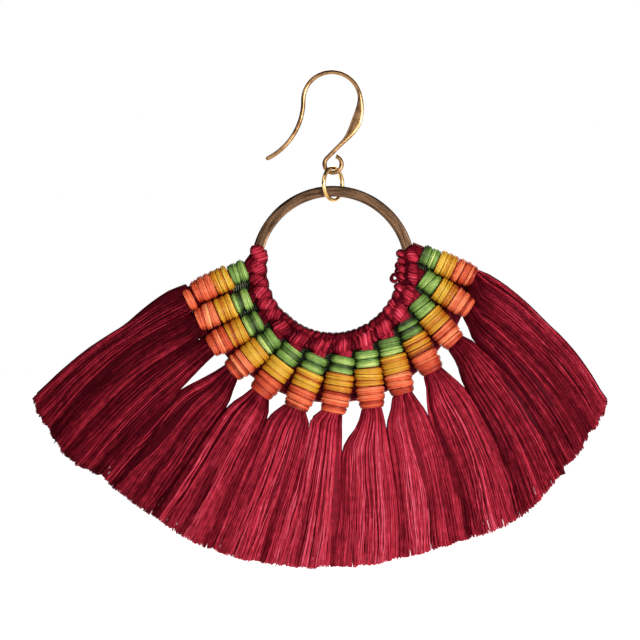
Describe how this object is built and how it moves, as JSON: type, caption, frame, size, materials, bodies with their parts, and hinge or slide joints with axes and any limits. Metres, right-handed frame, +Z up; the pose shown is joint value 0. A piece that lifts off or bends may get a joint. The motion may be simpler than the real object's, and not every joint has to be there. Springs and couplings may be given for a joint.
{
  "type": "tassel earring",
  "caption": "Drop earring with an ear hook, a flat bronze hoop and a wide fan of crimson silk tassels wrapped in green, yellow and orange cord.",
  "frame": {"origin": "inside top of the hook's bend, where it rests in the ear", "axes": "+Z up, +X to the right of someone who looks at the earring's front, +Y towards its back, so the fan of tassels lies in the XZ plane"},
  "size_m": [0.1044, 0.0056, 0.0905],
  "materials": {
    "hook_metal": "bright, polished, hammered flat at the front",
    "ring_metal": "bright, polished",
    "hoop_metal": "antique bronze, satin",
    "silk": "silk floss with a soft sheen",
    "cord_green": "fine silk thread, wound",
    "cord_yellow": "fine silk thread, wound",
    "cord_orange": "fine silk thread, wound"
  },
  "bodies": {
    "hook": {"ear_hook": "hook_metal"},
    "ring": {"jump_ring": "ring_metal"},
    "drop": {"hoop": "hoop_metal", "wrap_row_green": "cord_green", "wrap_row_yellow": "cord_yellow", "wrap_row_orange": "cord_orange", "tassel_01": "silk", "tassel_02": "silk", "tassel_03": "silk", "tassel_04": "silk", "tassel_05": "silk", "tassel_06": "silk", "tassel_07": "silk", "tassel_08": "silk", "tassel_09": "silk", "tassel_10": "silk", "tassel_11": "silk", "tassel_12": "silk", "tassel_13": "silk"}
  },
  "joints": [
    {"name": "ring_swing", "type": "hinge", "parent": "hook", "child": "ring", "pos_m": [0.00022, 0, -0.01791], "axis": [1, 0, 0], "range_deg": [-35, 35]},
    {"name": "drop_sway", "type": "hinge", "parent": "ring", "child": "drop", "pos_m": [0.00022, 0, -0.02287], "axis": [0, 1, 0], "range_deg": [-25, 25]}
  ]
}
